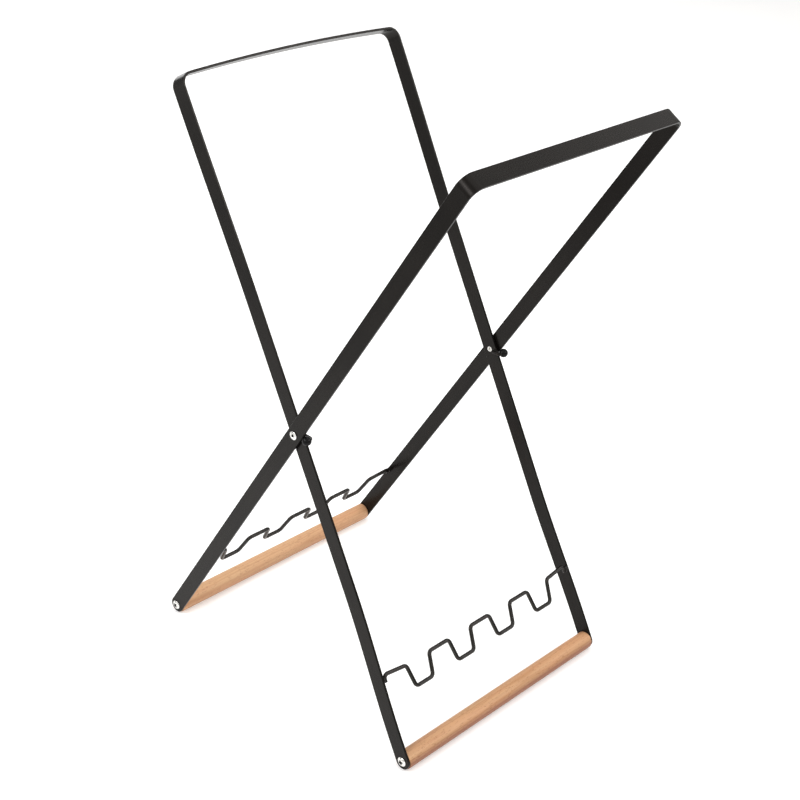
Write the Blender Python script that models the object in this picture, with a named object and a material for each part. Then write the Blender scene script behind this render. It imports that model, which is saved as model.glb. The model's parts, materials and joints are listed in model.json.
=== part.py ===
"""Folding X-frame magazine rack of flat steel bar, with wooden foot dowels and notched wires.

Metres, +Z up. X is the fold direction, Y runs along the dowels and the pivot axis. The outer
frame stands on the -X side and leans to +X, the inner frame is its mirror image and swings inside
it. The origin is on the floor, at the centre of the rack's footprint.

Each frame's pieces are built in that frame's own axes: X across the width of the bar, Y along the
pivot axis and Z up the leg, with the pivot axis at the origin. One empty per frame holds its lean.
"""

import math
from collections import namedtuple

import bmesh
import bpy
from mathutils import Vector

MM = 0.001
GAP = 0.3 * MM  # air left between pieces that touch

# Flat bar of both frames
BAR_WIDTH = 20 * MM
BAR_THICK = 3 * MM
BEND_RADIUS = 15 * MM  # outer face of the top corners

# Widths over the legs. The inner frame is drawn in at the pivots to fit between the outer legs.
OUTER_WIDTH = 342 * MM
WASHER_THICK = 0.8 * MM
INNER_PIVOT_WIDTH = OUTER_WIDTH - 2 * (BAR_THICK + WASHER_THICK + 2 * GAP)
INNER_TOP_WIDTH = 339 * MM
INNER_FOOT_WIDTH = 344 * MM
FLARE_START_BELOW = 190 * MM  # from the pivot, where the inner legs begin to spread
FLARE_START_ABOVE = 150 * MM
FOOT_FLAT = 20 * MM  # last stretch of each leg, flat on the dowel's end

# Legs, along the bar
LEAN = math.radians(30.4)  # of each frame from upright, rack open
FOOT_TO_PIVOT = 392 * MM
OUTER_PIVOT_TO_TOP = 421 * MM
INNER_PIVOT_TO_TOP = 414 * MM  # crown of the arched top bar
INNER_TOP_RISE = 4 * MM  # of that crown above the bar's ends

# Wooden dowels and the screws that hold them
DOWEL_RADIUS = 11 * MM
DOWEL_CHAMFER = 0.5 * MM
SCREW_RADIUS = 2.5 * MM
SCREW_LENGTH = 28 * MM
SCREW_TIP_RADIUS = 1.2 * MM
SCREW_TIP_BEVEL = 1 * MM
SCREW_TAPER = 5 * MM
SCREW_HEAD_RADIUS = 5.8 * MM
SCREW_HEAD_HEIGHT = 2.7 * MM
SCREW_HEAD_RIM = 0.9 * MM
CROSS_REACH = 3 * MM  # recess arms, from the middle
CROSS_HALF_WIDTH = 0.65 * MM
CROSS_DEPTH = 1.6 * MM

# Pivot: shoulder bolt, washer and clinch nut
PIVOT_SHOULDER_RADIUS = 3 * MM
PIVOT_THREAD_RADIUS = 2 * MM
PIVOT_HEAD_RADIUS = 5.2 * MM
PIVOT_HEAD_HEIGHT = 2.2 * MM
PIVOT_HEAD_RIM = 1.1 * MM
PIVOT_SOCKET_RADIUS = 2 * MM
PIVOT_SOCKET_FLOOR = 0.5 * MM  # above the head's underside
PIVOT_THREAD_RECESS = 1.8 * MM  # the bolt's end, inside the clinch nut
CLINCH_NUT_RADIUS = 3.4 * MM
CLINCH_NUT_PROUD = 0.5 * MM
WASHER_RADIUS = 8 * MM

# Opening stops: bent pin with a ball, one at each pivot
BALL_RADIUS = 5.5 * MM
BALL_OVERLAP = 0.5 * MM  # of the ball's centre past the outer leg's inner face
STOP_PIN_RADIUS = 2.2 * MM
STOP_PIN_BEND = 3 * MM
STOP_PIN_START = 6.8 * MM  # from the pivot axis
STOP_REACH = (BAR_WIDTH / 2 + BALL_RADIUS + GAP) / math.cos(LEAN)

# Notched wires
WIRE_RADIUS = 2.5 * MM
WIRE_OFFSET = 7.2 * MM  # from the bar's centre line, towards the frame's outer side
WIRE_BEND = 5.5 * MM
NOTCH_COUNT = 4
NOTCH_PITCH = 72.6 * MM
NOTCH_FLOOR = 28.3 * MM  # width at the bottom
NOTCH_SLOPE = 5.2 * MM  # sideways run of each notch wall
NOTCH_FLOOR_HEIGHT = 70.3 * MM  # above the dowel's axis, along the leg
NOTCH_TOP_HEIGHT = 98.5 * MM
WIRE_END_RISE = 4 * MM
WIRE_TAIL = 9 * MM  # down-turned end on the leg

ROUND = 24  # sides of a small turned piece
DOWEL_SIDES = 48
DOME_STEPS = 6
BALL_STEPS = 13
PIN_SIDES = 12
WIRE_SIDES = 8
TIP_STEPS = 8  # quarter of a leg's round end
FLARE_STEPS = 10
BEND_STEPS = 9
TOP_STEPS = 6
CUTTER_REACH = 1 * MM  # past the faces a recess opens on

# One bent frame: its lean, its widths over the legs, and the side of the bar its wire sits on
Frame = namedtuple("Frame", "label lean foot_width pivot_width top_width crown rise wire_side")
OUTER = Frame("outer", LEAN, OUTER_WIDTH, OUTER_WIDTH, OUTER_WIDTH, OUTER_PIVOT_TO_TOP, 0, -1)
INNER = Frame(
    "inner",
    -LEAN,
    INNER_FOOT_WIDTH,
    INNER_PIVOT_WIDTH,
    INNER_TOP_WIDTH,
    INNER_PIVOT_TO_TOP,
    INNER_TOP_RISE,
    1,
)

FOOT_HEIGHT = DOWEL_RADIUS
PIVOT_HEIGHT = FOOT_HEIGHT + FOOT_TO_PIVOT * math.cos(LEAN)
LEAN_SHIFT = (OUTER_PIVOT_TO_TOP - INNER_PIVOT_TO_TOP) * math.sin(LEAN) / 2
PIVOT_CENTRE = Vector((-LEAN_SHIFT, 0, PIVOT_HEIGHT))


def clear_scene():
    for obj in list(bpy.data.objects):
        bpy.data.objects.remove(obj, do_unlink=True)


def make_material(name, colour, metallic, roughness):
    material = bpy.data.materials.new(name)
    material.use_nodes = True
    shader = material.node_tree.nodes["Principled BSDF"]
    shader.inputs["Base Color"].default_value = (*colour, 1)
    shader.inputs["Metallic"].default_value = metallic
    shader.inputs["Roughness"].default_value = roughness
    material.diffuse_color = (*colour, 1)
    return material


def frame_axes(name, lean):
    """Empty on the pivot axis, turned by the frame's lean."""
    axes = bpy.data.objects.new(name, None)
    axes.location = PIVOT_CENTRE
    axes.rotation_euler = (0, lean, 0)
    axes.empty_display_size = 30 * MM
    bpy.context.scene.collection.objects.link(axes)
    return axes


def add_object(name, shape, material, parent):
    bmesh.ops.recalc_face_normals(shape, faces=shape.faces)
    mesh = bpy.data.meshes.new(name)
    shape.to_mesh(mesh)
    shape.free()
    mesh.shade_smooth()
    mesh.set_sharp_from_angle(angle=math.radians(35))
    obj = bpy.data.objects.new(name, mesh)
    obj.parent = parent
    if material:
        mesh.materials.append(material)
    bpy.context.scene.collection.objects.link(obj)
    return obj


def cut_with(body, cutter):
    """Boolean difference; the cutter stays in the scene as a hidden wire shape."""
    cutter.hide_render = True
    cutter.display_type = "WIRE"
    modifier = body.modifiers.new(cutter.name, "BOOLEAN")
    modifier.operation = "DIFFERENCE"
    modifier.solver = "EXACT"
    modifier.object = cutter


def arc(centre, radius, start, end, steps):
    """Points of an arc in a plane, both ends included, angles in radians."""
    points = []
    for k in range(steps + 1):
        angle = start + (end - start) * k / steps
        points.append(centre + radius * Vector((math.cos(angle), math.sin(angle))))
    return points


def turned_shape(profile, sides=ROUND):
    """Closed shape from (radius, height) points turned about Z. A closed ring starts off the axis."""
    shape = bmesh.new()
    rings = []
    for radius, height in profile:
        if radius == 0:
            rings.append([shape.verts.new((0, 0, height))] * sides)
            continue
        ring = []
        for k in range(sides):
            angle = 2 * math.pi * k / sides
            ring.append(shape.verts.new((radius * math.cos(angle), radius * math.sin(angle), height)))
        rings.append(ring)
    if profile[0][0] > 0:
        rings.append(rings[0])
    for ring, above in zip(rings, rings[1:]):
        for k in range(sides):
            after = (k + 1) % sides
            corners = dict.fromkeys((ring[k], ring[after], above[after], above[k]))
            shape.faces.new(list(corners))
    return shape


def prism_shape(outline, bottom, top):
    """Upright prism over an outline of (x, y) points."""
    shape = bmesh.new()
    base = shape.faces.new([shape.verts.new((x, y, bottom)) for x, y in outline])
    sides = bmesh.ops.extrude_face_region(shape, geom=[base])["geom"]
    moved = [part for part in sides if isinstance(part, bmesh.types.BMVert)]
    bmesh.ops.translate(shape, verts=moved, vec=(0, 0, top - bottom))
    return shape


def tube_shape(points, radius, sides):
    """Round bar with flat ends, swept along points in one plane."""
    shape = bmesh.new()
    plane = (points[1] - points[0]).cross(points[-1] - points[0])
    for before, here, after in zip(points, points[1:], points[2:]):
        turn = (here - before).cross(after - here)
        if turn.length > plane.length * 1e-6:
            plane = turn
            break
    plane.normalize()
    rings = []
    for k, point in enumerate(points):
        along_in = (point - points[max(k - 1, 0)]).normalized()
        along_out = (points[min(k + 1, len(points) - 1)] - point).normalized()
        along = (along_in + along_out).normalized()
        across = plane.cross(along)
        stretch = 1 / max(along.dot(along_in), along.dot(along_out), 0.5)
        ring = []
        for j in range(sides):
            angle = 2 * math.pi * (j + 0.5) / sides
            offset = across * (math.cos(angle) * radius * stretch) + plane * (math.sin(angle) * radius)
            ring.append(shape.verts.new(point + offset))
        rings.append(ring)
    for ring, above in zip(rings, rings[1:]):
        for j in range(sides):
            after = (j + 1) % sides
            shape.faces.new((ring[j], ring[after], above[after], above[j]))
    shape.faces.new(rings[0])
    shape.faces.new(rings[-1])
    return shape


def rounded_path(corners, radius, steps):
    """Path through the corner points with every inner corner rounded."""
    path = [corners[0]]
    for before, corner, after in zip(corners, corners[1:], corners[2:]):
        inward = (before - corner).normalized()
        outward = (after - corner).normalized()
        half_angle = inward.angle(outward) / 2
        middle = corner + (inward + outward).normalized() * radius / math.sin(half_angle)
        start = corner + inward * radius / math.tan(half_angle) - middle
        end = corner + outward * radius / math.tan(half_angle) - middle
        turn = start.angle(end)
        for k in range(steps + 1):
            share = k / steps
            blend = start * math.sin((1 - share) * turn) + end * math.sin(share * turn)
            path.append(middle + blend / math.sin(turn))
    path.append(corners[-1])
    return path


def ease(start, end, value):
    """0 up to start, 1 from end, and a smooth S between them."""
    share = min(max((value - start) / (end - start), 0), 1)
    return share * share * (3 - 2 * share)


def leg_half_width(frame, z):
    """Distance of a leg's outer face from the middle of the frame, at height z from the pivot."""
    if z < 0:
        spread = (frame.foot_width - frame.pivot_width) / 2
        return frame.pivot_width / 2 + spread * ease(FLARE_START_BELOW, FOOT_TO_PIVOT - FOOT_FLAT, -z)
    spread = (frame.top_width - frame.pivot_width) / 2
    return frame.pivot_width / 2 + spread * ease(FLARE_START_ABOVE, frame.crown - BEND_RADIUS, z)


def leg_stations(frame, bend_height):
    """Left leg of a frame, from its full-round tip up to the start of the bend."""
    half_bar = BAR_WIDTH / 2
    stations = []
    for k in range(1, TIP_STEPS + 1):
        angle = math.pi / 2 * k / TIP_STEPS
        stations.append((-FOOT_TO_PIVOT - half_bar * math.cos(angle), half_bar * math.sin(angle)))
    if frame.foot_width > frame.pivot_width:
        spreads = (
            (FOOT_FLAT - FOOT_TO_PIVOT, -FLARE_START_BELOW),
            (FLARE_START_ABOVE, bend_height - BEND_RADIUS / 4),
        )
        for low, high in spreads:
            for k in range(FLARE_STEPS + 1):
                stations.append((low + (high - low) * k / FLARE_STEPS, half_bar))
    leg = []
    for z, half_width in stations:
        step = 0.5 * MM
        lean_out = leg_half_width(frame, z + step) - leg_half_width(frame, z - step)
        outward = Vector((-2 * step, -lean_out)).normalized()
        leg.append((-leg_half_width(frame, z), z, outward, half_width))
    return leg


def bar_stations(frame):
    """(y, z, outward normal, half bar width) along the outer face of a bent U-frame."""
    half_bar = BAR_WIDTH / 2
    half_span = frame.top_width / 2 - BEND_RADIUS
    slope = 2 * math.atan2(frame.rise, half_span)
    top_half = half_span + BEND_RADIUS * math.sin(slope)
    bend_height = frame.crown - top_half * math.tan(slope / 2) - BEND_RADIUS * math.cos(slope)
    left = leg_stations(frame, bend_height)
    bend_centre = Vector((-half_span, bend_height))
    for point in arc(bend_centre, BEND_RADIUS, math.pi, math.pi / 2 + slope, BEND_STEPS):
        left.append((point.x, point.y, (point - bend_centre).normalized(), half_bar))
    middle = []
    if frame.rise:
        top_radius = top_half / math.sin(slope)
        for k in range(1, TOP_STEPS):
            y = top_half * (k / TOP_STEPS - 1)
            fall = top_radius - math.sqrt(top_radius**2 - y**2)
            left.append((y, frame.crown - fall, Vector((y, top_radius - fall)).normalized(), half_bar))
        middle.append((0, frame.crown, Vector((0, 1)), half_bar))
    right = [(-y, z, Vector((-n.x, n.y)), w) for y, z, n, w in reversed(left)]
    return left + middle + right


def bar_shape(frame):
    """Flat bar bent to a U, with full-round leg ends about the dowel's axis."""
    shape = bmesh.new()
    rings = []
    for y, z, normal, half_bar in bar_stations(frame):
        inner_y, inner_z = y - normal.x * BAR_THICK, z - normal.y * BAR_THICK
        corners = (
            (-half_bar, y, z),
            (half_bar, y, z),
            (half_bar, inner_y, inner_z),
            (-half_bar, inner_y, inner_z),
        )
        rings.append([shape.verts.new(corner) for corner in corners])
    for ring, after in zip(rings, rings[1:]):
        for j in range(4):
            k = (j + 1) % 4
            shape.faces.new((ring[j], ring[k], after[k], after[j]))
    shape.faces.new(rings[0])
    shape.faces.new(rings[-1])
    return shape


def make_frame(frame, parent, steel, pivot_hole):
    name = f"{frame.label}_frame"
    bar = add_object(name, bar_shape(frame), steel, parent)
    reach = OUTER_WIDTH / 2 + 10 * MM
    holes = (("pivot", pivot_hole, 0), ("dowel", SCREW_RADIUS + GAP, -FOOT_TO_PIVOT))
    for hole, radius, height in holes:
        profile = ((0, -reach), (radius, -reach), (radius, reach), (0, reach))
        cutter = add_object(f"{name}_{hole}_hole_cutter", turned_shape(profile), None, parent)
        cutter.rotation_euler = (math.pi / 2, 0, 0)
        cutter.location = (0, 0, height)
        cut_with(bar, cutter)


def make_dowel(frame, parent, wood):
    """Dowel between the legs, with a pilot hole in each end for its screw."""
    half = frame.foot_width / 2 - BAR_THICK - GAP
    hole = SCREW_RADIUS + GAP
    depth = SCREW_LENGTH - BAR_THICK + 2 * MM
    profile = (
        (0, -half + depth),
        (hole, -half + depth),
        (hole, -half),
        (DOWEL_RADIUS - DOWEL_CHAMFER, -half),
        (DOWEL_RADIUS, -half + DOWEL_CHAMFER),
        (DOWEL_RADIUS, half - DOWEL_CHAMFER),
        (DOWEL_RADIUS - DOWEL_CHAMFER, half),
        (hole, half),
        (hole, half - depth),
        (0, half - depth),
    )
    dowel = add_object(f"{frame.label}_dowel", turned_shape(profile, DOWEL_SIDES), wood, parent)
    dowel.rotation_euler = (math.pi / 2, 0, 0)
    dowel.location = (0, 0, -FOOT_TO_PIVOT)


def point_outwards(obj, side, half_width, height):
    """Stands a turned piece on a leg's outer face, its Z axis pointing away from the rack."""
    obj.rotation_euler = (-side * math.pi / 2, 0, 0)
    obj.location = (0, side * half_width, height)


def domed_head(radius, height, rim):
    """Profile of a low domed head, from its underside edge up to the axis."""
    ball = (radius**2 + (height - rim) ** 2) / (2 * (height - rim))
    profile = [(radius, GAP)]
    for k in range(DOME_STEPS):
        r = radius * (1 - k / DOME_STEPS)
        profile.append((r, GAP + height - ball + math.sqrt(ball**2 - r**2)))
    profile.append((0, GAP + height))
    return profile


def make_dowel_screw(name, parent, steel, side, half_width):
    """Pan-head wood screw through the leg into the dowel, with a cross recess."""
    shank = [
        (0, -SCREW_LENGTH),
        (SCREW_TIP_RADIUS, -SCREW_LENGTH + SCREW_TIP_BEVEL),
        (SCREW_RADIUS, -SCREW_LENGTH + SCREW_TAPER),
        (SCREW_RADIUS, GAP),
    ]
    head = domed_head(SCREW_HEAD_RADIUS, SCREW_HEAD_HEIGHT, SCREW_HEAD_RIM)
    screw = add_object(name, turned_shape(shank + head), steel, parent)
    point_outwards(screw, side, half_width, -FOOT_TO_PIVOT)
    arm, waist = CROSS_REACH, CROSS_HALF_WIDTH
    half_cross = [(arm, waist), (waist, waist), (waist, arm)]
    half_cross += [(-waist, arm), (-waist, waist), (-arm, waist)]
    cross = half_cross + [(-x, -y) for x, y in half_cross]
    crown = GAP + SCREW_HEAD_HEIGHT
    recess = prism_shape(cross, crown - CROSS_DEPTH, crown + CUTTER_REACH)
    cutter = add_object(f"{name}_recess_cutter", recess, None, screw)
    cut_with(screw, cutter)


def make_pivot_bolt(name, parent, steel, side):
    """Shoulder bolt: turns in the outer leg, its thread sits in the inner leg's clinch nut."""
    half_width = OUTER_WIDTH / 2
    inner_leg_depth = (OUTER_WIDTH - INNER_PIVOT_WIDTH) / 2
    thread_start = -(inner_leg_depth - GAP)
    thread_end = thread_start - BAR_THICK + PIVOT_THREAD_RECESS
    shank = [
        (0, thread_end),
        (PIVOT_THREAD_RADIUS, thread_end),
        (PIVOT_THREAD_RADIUS, thread_start),
        (PIVOT_SHOULDER_RADIUS, thread_start),
        (PIVOT_SHOULDER_RADIUS, GAP),
    ]
    head = domed_head(PIVOT_HEAD_RADIUS, PIVOT_HEAD_HEIGHT, PIVOT_HEAD_RIM)
    bolt = add_object(name, turned_shape(shank + head), steel, parent)
    point_outwards(bolt, side, half_width, 0)
    hexagon = []
    for k in range(6):
        angle = math.pi * k / 3
        hexagon.append((PIVOT_SOCKET_RADIUS * math.cos(angle), PIVOT_SOCKET_RADIUS * math.sin(angle)))
    recess = prism_shape(hexagon, GAP + PIVOT_SOCKET_FLOOR, GAP + PIVOT_HEAD_HEIGHT + CUTTER_REACH)
    cutter = add_object(f"{name}_socket_cutter", recess, None, bolt)
    cut_with(bolt, cutter)


def ring_shape(bore, radius, low, high):
    """Flat ring about Z, between two heights."""
    return turned_shape(((bore, low), (radius, low), (radius, high), (bore, high)))


def make_stop(label, parent, steel, plastic, side):
    """Bent pin on the inner leg, and the ball on its end that the outer leg comes to rest on."""
    inner_face = INNER_PIVOT_WIDTH / 2 - BAR_THICK
    along = Vector((math.cos(LEAN), 0, -math.sin(LEAN)))
    out = Vector((0, side, 0))
    pin_depth = inner_face - GAP - STOP_PIN_RADIUS
    ball_depth = OUTER_WIDTH / 2 - BAR_THICK + BALL_OVERLAP
    corners = [
        along * STOP_PIN_START + out * pin_depth,
        along * STOP_REACH + out * pin_depth,
        along * STOP_REACH + out * ball_depth,
    ]
    pin_path = rounded_path(corners, STOP_PIN_BEND, 4)
    add_object(f"stop_pin_{label}", tube_shape(pin_path, STOP_PIN_RADIUS, PIN_SIDES), steel, parent)

    hole = STOP_PIN_RADIUS + GAP
    mouth = math.asin(hole / BALL_RADIUS)
    profile = [(0, GAP), (hole, GAP)]
    for k in range(BALL_STEPS):
        angle = (math.pi - mouth) * (1 - k / BALL_STEPS)
        profile.append((BALL_RADIUS * math.sin(angle), BALL_RADIUS * math.cos(angle)))
    profile.append((0, BALL_RADIUS))
    ball = add_object(f"stop_ball_{label}", turned_shape(profile), plastic, parent)
    ball.rotation_euler = (-side * math.pi / 2, 0, 0)
    ball.location = along * STOP_REACH + out * ball_depth


def wire_corners(frame):
    """Corner points of the notched wire's centre line as (y, height above the dowel's axis)."""
    end_height = NOTCH_TOP_HEIGHT + WIRE_END_RISE
    inner_face = leg_half_width(frame, end_height + WIRE_RADIUS - FOOT_TO_PIVOT) - BAR_THICK
    end_y = inner_face - GAP - WIRE_RADIUS
    corners = [(-end_y, end_height - WIRE_TAIL), (-end_y, end_height)]
    for notch in range(NOTCH_COUNT):
        centre = (notch - (NOTCH_COUNT - 1) / 2) * NOTCH_PITCH
        floor = NOTCH_FLOOR / 2
        corners.append((centre - floor - NOTCH_SLOPE, NOTCH_TOP_HEIGHT))
        corners.append((centre - floor, NOTCH_FLOOR_HEIGHT))
        corners.append((centre + floor, NOTCH_FLOOR_HEIGHT))
        corners.append((centre + floor + NOTCH_SLOPE, NOTCH_TOP_HEIGHT))
    corners.append((end_y, end_height))
    corners.append((end_y, end_height - WIRE_TAIL))
    return corners


def make_wire(frame, parent, steel):
    offset = frame.wire_side * WIRE_OFFSET
    corners = [Vector((offset, y, z - FOOT_TO_PIVOT)) for y, z in wire_corners(frame)]
    path = rounded_path(corners, WIRE_BEND, 3)
    add_object(f"{frame.label}_notched_wire", tube_shape(path, WIRE_RADIUS, WIRE_SIDES), steel, parent)


def build():
    clear_scene()
    black_steel = make_material("black_powder_coat", (0.030, 0.027, 0.024), 0.0, 0.42)
    beech = make_material("oiled_beech", (0.60, 0.36, 0.20), 0.0, 0.55)
    nickel = make_material("nickel_plate", (0.78, 0.77, 0.75), 1.0, 0.22)
    nylon = make_material("nylon", (0.60, 0.58, 0.54), 0.0, 0.5)
    plastic = make_material("gloss_black_plastic", (0.012, 0.012, 0.012), 0.0, 0.2)

    outer_axes = frame_axes("outer_frame_axes", OUTER.lean)
    fold_axis = frame_axes("fold_axis", INNER.lean)
    shoulder_hole = PIVOT_SHOULDER_RADIUS + GAP
    nut_hole = CLINCH_NUT_RADIUS + GAP
    ends = (("near", -1), ("far", 1))

    made = ((OUTER, outer_axes, shoulder_hole), (INNER, fold_axis, nut_hole))
    for frame, parent, pivot_hole in made:
        make_frame(frame, parent, black_steel, pivot_hole)
        make_dowel(frame, parent, beech)
        make_wire(frame, parent, black_steel)
        for end, side in ends:
            name = f"{frame.label}_dowel_screw_{end}"
            make_dowel_screw(name, parent, nickel, side, frame.foot_width / 2)

    for end, side in ends:
        make_pivot_bolt(f"pivot_bolt_{end}", fold_axis, nickel, side)
        leg_face = INNER_PIVOT_WIDTH / 2
        washer_shape = ring_shape(shoulder_hole, WASHER_RADIUS, GAP, GAP + WASHER_THICK)
        washer = add_object(f"pivot_washer_{end}", washer_shape, nylon, fold_axis)
        point_outwards(washer, side, leg_face, 0)
        nut_bore = PIVOT_THREAD_RADIUS + GAP
        nut_shape = ring_shape(nut_bore, CLINCH_NUT_RADIUS, -CLINCH_NUT_PROUD, BAR_THICK)
        nut = add_object(f"pivot_nut_{end}", nut_shape, nickel, fold_axis)
        point_outwards(nut, side, leg_face - BAR_THICK, 0)
        make_stop(end, fold_axis, black_steel, plastic, side)


build()
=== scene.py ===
"""Looks of the folding magazine rack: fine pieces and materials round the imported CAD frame.

Metres, +Z up. Each steel frame has axes of its own: X across the bar, Y along the pivot axis and
Z up the leg, with the pivot axis at the origin. Pieces are built in those axes and then placed.
"""

import json
import math
from collections import namedtuple

import bmesh
import bpy
from mathutils import Matrix, Vector


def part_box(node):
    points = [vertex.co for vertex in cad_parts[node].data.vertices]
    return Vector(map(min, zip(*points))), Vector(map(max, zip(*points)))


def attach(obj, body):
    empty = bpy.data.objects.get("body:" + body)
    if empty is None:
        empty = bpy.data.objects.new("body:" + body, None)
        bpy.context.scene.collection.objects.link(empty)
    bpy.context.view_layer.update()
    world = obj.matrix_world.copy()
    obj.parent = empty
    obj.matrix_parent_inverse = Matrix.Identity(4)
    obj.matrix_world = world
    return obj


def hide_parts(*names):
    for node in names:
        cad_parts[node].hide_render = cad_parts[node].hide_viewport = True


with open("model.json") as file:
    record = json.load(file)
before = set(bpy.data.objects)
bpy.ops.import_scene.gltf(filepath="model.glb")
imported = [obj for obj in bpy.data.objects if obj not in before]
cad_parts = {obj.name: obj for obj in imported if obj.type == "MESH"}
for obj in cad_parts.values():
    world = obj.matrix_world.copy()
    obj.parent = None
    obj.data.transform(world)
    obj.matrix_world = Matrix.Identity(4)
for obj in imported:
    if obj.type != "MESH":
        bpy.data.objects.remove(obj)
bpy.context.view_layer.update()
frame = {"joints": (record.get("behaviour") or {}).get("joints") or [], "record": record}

MM = 0.001

# Where the record puts the fold axis, and the lean of the frames that its mount faces along
FOLD = next(joint for joint in frame["joints"] if joint["name"] == "fold")
PIVOT = Vector(FOLD["pos_m"])
TOP_FACING = Vector(frame["record"]["mounts"][0]["axis"])
LEAN = math.atan2(TOP_FACING.x, TOP_FACING.z)

# Flat bar
BAR_WIDTH = 20 * MM
BAR_THICK = 3 * MM
BAR_EDGE = 0.55 * MM  # radius of its rolled edges
BEND_RADIUS = 15 * MM
OUTER_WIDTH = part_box("outer_frame")[1].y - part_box("outer_frame")[0].y
INNER_PIVOT_WIDTH = 333.2 * MM
INNER_TOP_WIDTH = 339 * MM
INNER_FOOT_WIDTH = 344 * MM
FLARE_START_BELOW = 190 * MM
FLARE_START_ABOVE = 150 * MM
FOOT_FLAT = 20 * MM
FOOT_TO_PIVOT = 392 * MM
OUTER_PIVOT_TO_TOP = 421 * MM
INNER_PIVOT_TO_TOP = 414 * MM
INNER_TOP_RISE = 4 * MM

# Dowels and their screws
DOWEL_RADIUS = 11 * MM
DOWEL_EDGE = 0.7 * MM
DOWEL_GAP = 0.05 * MM
DOWEL_BORE_DEPTH = 26 * MM
SCREW_RADIUS = 2.5 * MM
SCREW_HOLE_GAP = 0.2 * MM
SCREW_CORE = 0.72  # of its radius
SCREW_LENGTH = 28 * MM
SCREW_POINT = 5 * MM
SCREW_NECK = 3 * MM
SCREW_HEAD_RADIUS = 5.8 * MM
SCREW_HEAD_TOP = 3 * MM
SCREW_HEAD_SIDE = 1.1 * MM
SCREW_THREAD_PITCH = 1.8 * MM

# Cross recess: (arm, waist) of its mouth and floor
RECESS_MOUTH = (3.5 * MM, 0.95 * MM)
RECESS_FLOOR = (1.6 * MM, 0.6 * MM)
RECESS_DEPTH = 2.4 * MM

# Pivots
SHOULDER_RADIUS = 3 * MM
PIVOT_THREAD_RADIUS = 1.85 * MM
PIVOT_HEAD_RADIUS = 5.2 * MM
PIVOT_HEAD_TOP = 2.5 * MM
PIVOT_HEAD_SIDE = 1.2 * MM
PIVOT_SOCKET_RADIUS = 2 * MM
PIVOT_SOCKET_FLOOR = 0.45 * MM
PIVOT_SINK_RADIUS = 2.75 * MM
NUT_RADIUS = 3.4 * MM
NUT_BORE = 1.95 * MM
NUT_PROUD = 0.5 * MM
THREAD_RECESS = 1.8 * MM
WASHER_RADIUS = 8 * MM
WASHER_THICK = 0.8 * MM
SEAT_GAP = 0.3 * MM

# Opening stops
BALL_RADIUS = 5.5 * MM
BALL_OVERLAP = 0.5 * MM
PIN_RADIUS = 2.2 * MM
PIN_BEND = 3 * MM
PIN_START = 6.8 * MM
PIN_IN_BALL = 1.5 * MM  # how far its end stays from the ball's centre
PIN_WELD_WIDTH = 3 * MM
PIN_REACH = (BAR_WIDTH / 2 + BALL_RADIUS + SEAT_GAP) / math.cos(LEAN)

# Notched wires
WIRE_RADIUS = 2.5 * MM
WIRE_OFFSET = 7.2 * MM
WIRE_BEND = 5.5 * MM
NOTCH_COUNT = 4
NOTCH_PITCH = 72.6 * MM
NOTCH_FLOOR = 28.3 * MM
NOTCH_SLOPE = 5.2 * MM
NOTCH_FLOOR_HEIGHT = 70.3 * MM
NOTCH_TOP_HEIGHT = 98.5 * MM
WIRE_END_RISE = 4 * MM
WIRE_TAIL = 9 * MM
WIRE_WELD_WIDTH = 3.4 * MM
END_ROUNDING = 0.4 * MM  # of wires and pins

# Direction in which painted light falloff darkens the floor's colour
PAINTED_DARK_END = Vector((-0.45, -0.89, 0))

# Softboxes: name, size, watts, place and what they point at
LIGHTS = (
    ("key", (2.0, 1.6), 75, (-1.66, -2.87, 2.59), (0, 0, 0.35)),
    ("fill", (1.9, 0.5), 21, (2.06, 1.44, 1.98), (0, 0, 0.35)),
    ("back", (2.4, 2.4), 20, (-1.6, 1.2, 2.6), (-0.8, 0.6, 0)),
    ("strip", (0.45, 1.4), 18, (-0.17, -3.17, 1.98), (0, 0, 0.5)),
    ("side", (1.0, 0.8), 8, (-2.9, 0.7, 1.0), (0, 0, 0.6)),
    ("top", (3.0, 3.0), 34, (0.3, 0.2, 3.2), (0.3, 0.2, 0)),
)
FLOOR_RADIUS = 14

# Camera, from the fold axis, and its turn in degrees
CAMERA_FROM_PIVOT = Vector((1.0834, -1.2389, 0.8808))
CAMERA_AZIMUTH = 41.12
CAMERA_ELEVATION = 28.56
CAMERA_ROLL = 4.56
CAMERA_LENS = 71.52
CAMERA_SENSOR = 36

# crown: pivot to the top bar's middle. rise: how far the top bar arches. tone: 1 for paler wood.
Frame = namedtuple("Frame", "label lean foot_width pivot_width top_width crown rise wire_side tone")
OUTER = Frame(
    label="outer",
    lean=LEAN,
    foot_width=OUTER_WIDTH,
    pivot_width=OUTER_WIDTH,
    top_width=OUTER_WIDTH,
    crown=OUTER_PIVOT_TO_TOP,
    rise=0,
    wire_side=-1,
    tone=1.0,
)
INNER = Frame(
    label="inner",
    lean=-LEAN,
    foot_width=INNER_FOOT_WIDTH,
    pivot_width=INNER_PIVOT_WIDTH,
    top_width=INNER_TOP_WIDTH,
    crown=INNER_PIVOT_TO_TOP,
    rise=INNER_TOP_RISE,
    wire_side=1,
    tone=0.0,
)
ENDS = (("near", -1), ("far", 1))
PAINTED_SHADE_SIDE = Vector((0.64, 0, -0.77))  # side of the dowels that takes painted shade, turned from the light


# ---------------------------------------------------------------- materials


def new_material(name):
    """Empty node material with a Principled shader. Gives the material, its tree and the shader."""
    material = bpy.data.materials.new(name)
    material.use_nodes = True
    tree = material.node_tree
    return material, tree, tree.nodes["Principled BSDF"]


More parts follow.
